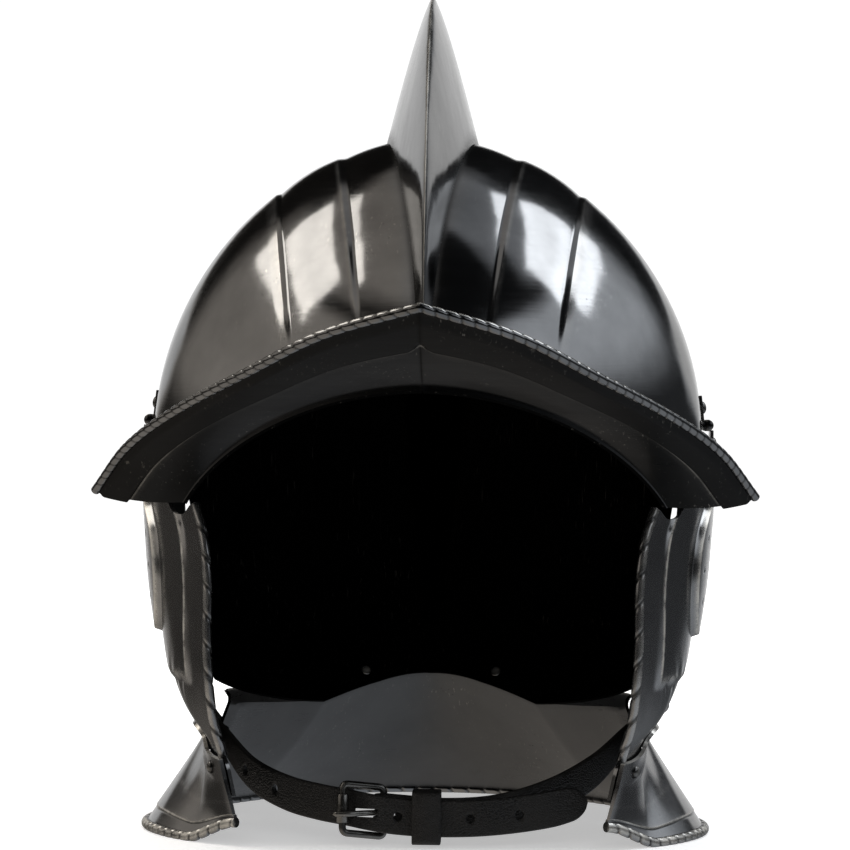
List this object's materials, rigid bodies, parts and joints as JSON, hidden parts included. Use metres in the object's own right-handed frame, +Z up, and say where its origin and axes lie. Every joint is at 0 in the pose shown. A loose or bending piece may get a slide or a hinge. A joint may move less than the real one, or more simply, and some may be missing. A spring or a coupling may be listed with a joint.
{
  "type": "burgonet",
  "caption": "Open helmet of blackened steel with a tall hollow comb, pointed peak, hinged cheekpieces with pierced ear bosses, flared lower lames, riveted neck guard and buckled chin strap.",
  "frame": {"origin": "on the surface that the helmet stands on, under the middle of its bounding box", "axes": "+Z up through the comb; -Y is the way the face and the peak look; X runs from one cheekpiece to the other"},
  "size_m": [0.2544, 0.3368, 0.3304],
  "materials": {
    "steel": "polished blackened steel, worn bright at the edges",
    "leather": "black grained strap leather"
  },
  "bodies": {
    "root": {"skull": "steel", "neck_guard": "steel", "neck_guard_rivet_left": "steel", "neck_guard_rivet_right": "steel", "cheekpiece_right": "steel", "cheekpiece_left": "steel", "lower_lame_right": "steel", "lower_lame_left": "steel", "hinge_upper_leaf_right": "steel", "hinge_upper_leaf_left": "steel", "hinge_lower_leaf_right": "steel", "hinge_lower_leaf_left": "steel", "hinge_pin_right": "steel", "hinge_pin_left": "steel", "hinge_upper_rivet_right": "steel", "hinge_upper_rivet_left": "steel", "hinge_lower_rivet_right": "steel", "hinge_lower_rivet_left": "steel", "lame_rivet_front_right": "steel", "lame_rivet_front_left": "steel", "lame_rivet_rear_right": "steel", "lame_rivet_rear_left": "steel", "strap_rivet_right": "steel", "strap_rivet_left": "steel", "strap_long": "leather", "strap_short": "leather", "strap_keeper": "leather", "buckle_frame": "steel", "buckle_roller": "steel", "buckle_tongue": "steel"}
  },
  "joints": []
}
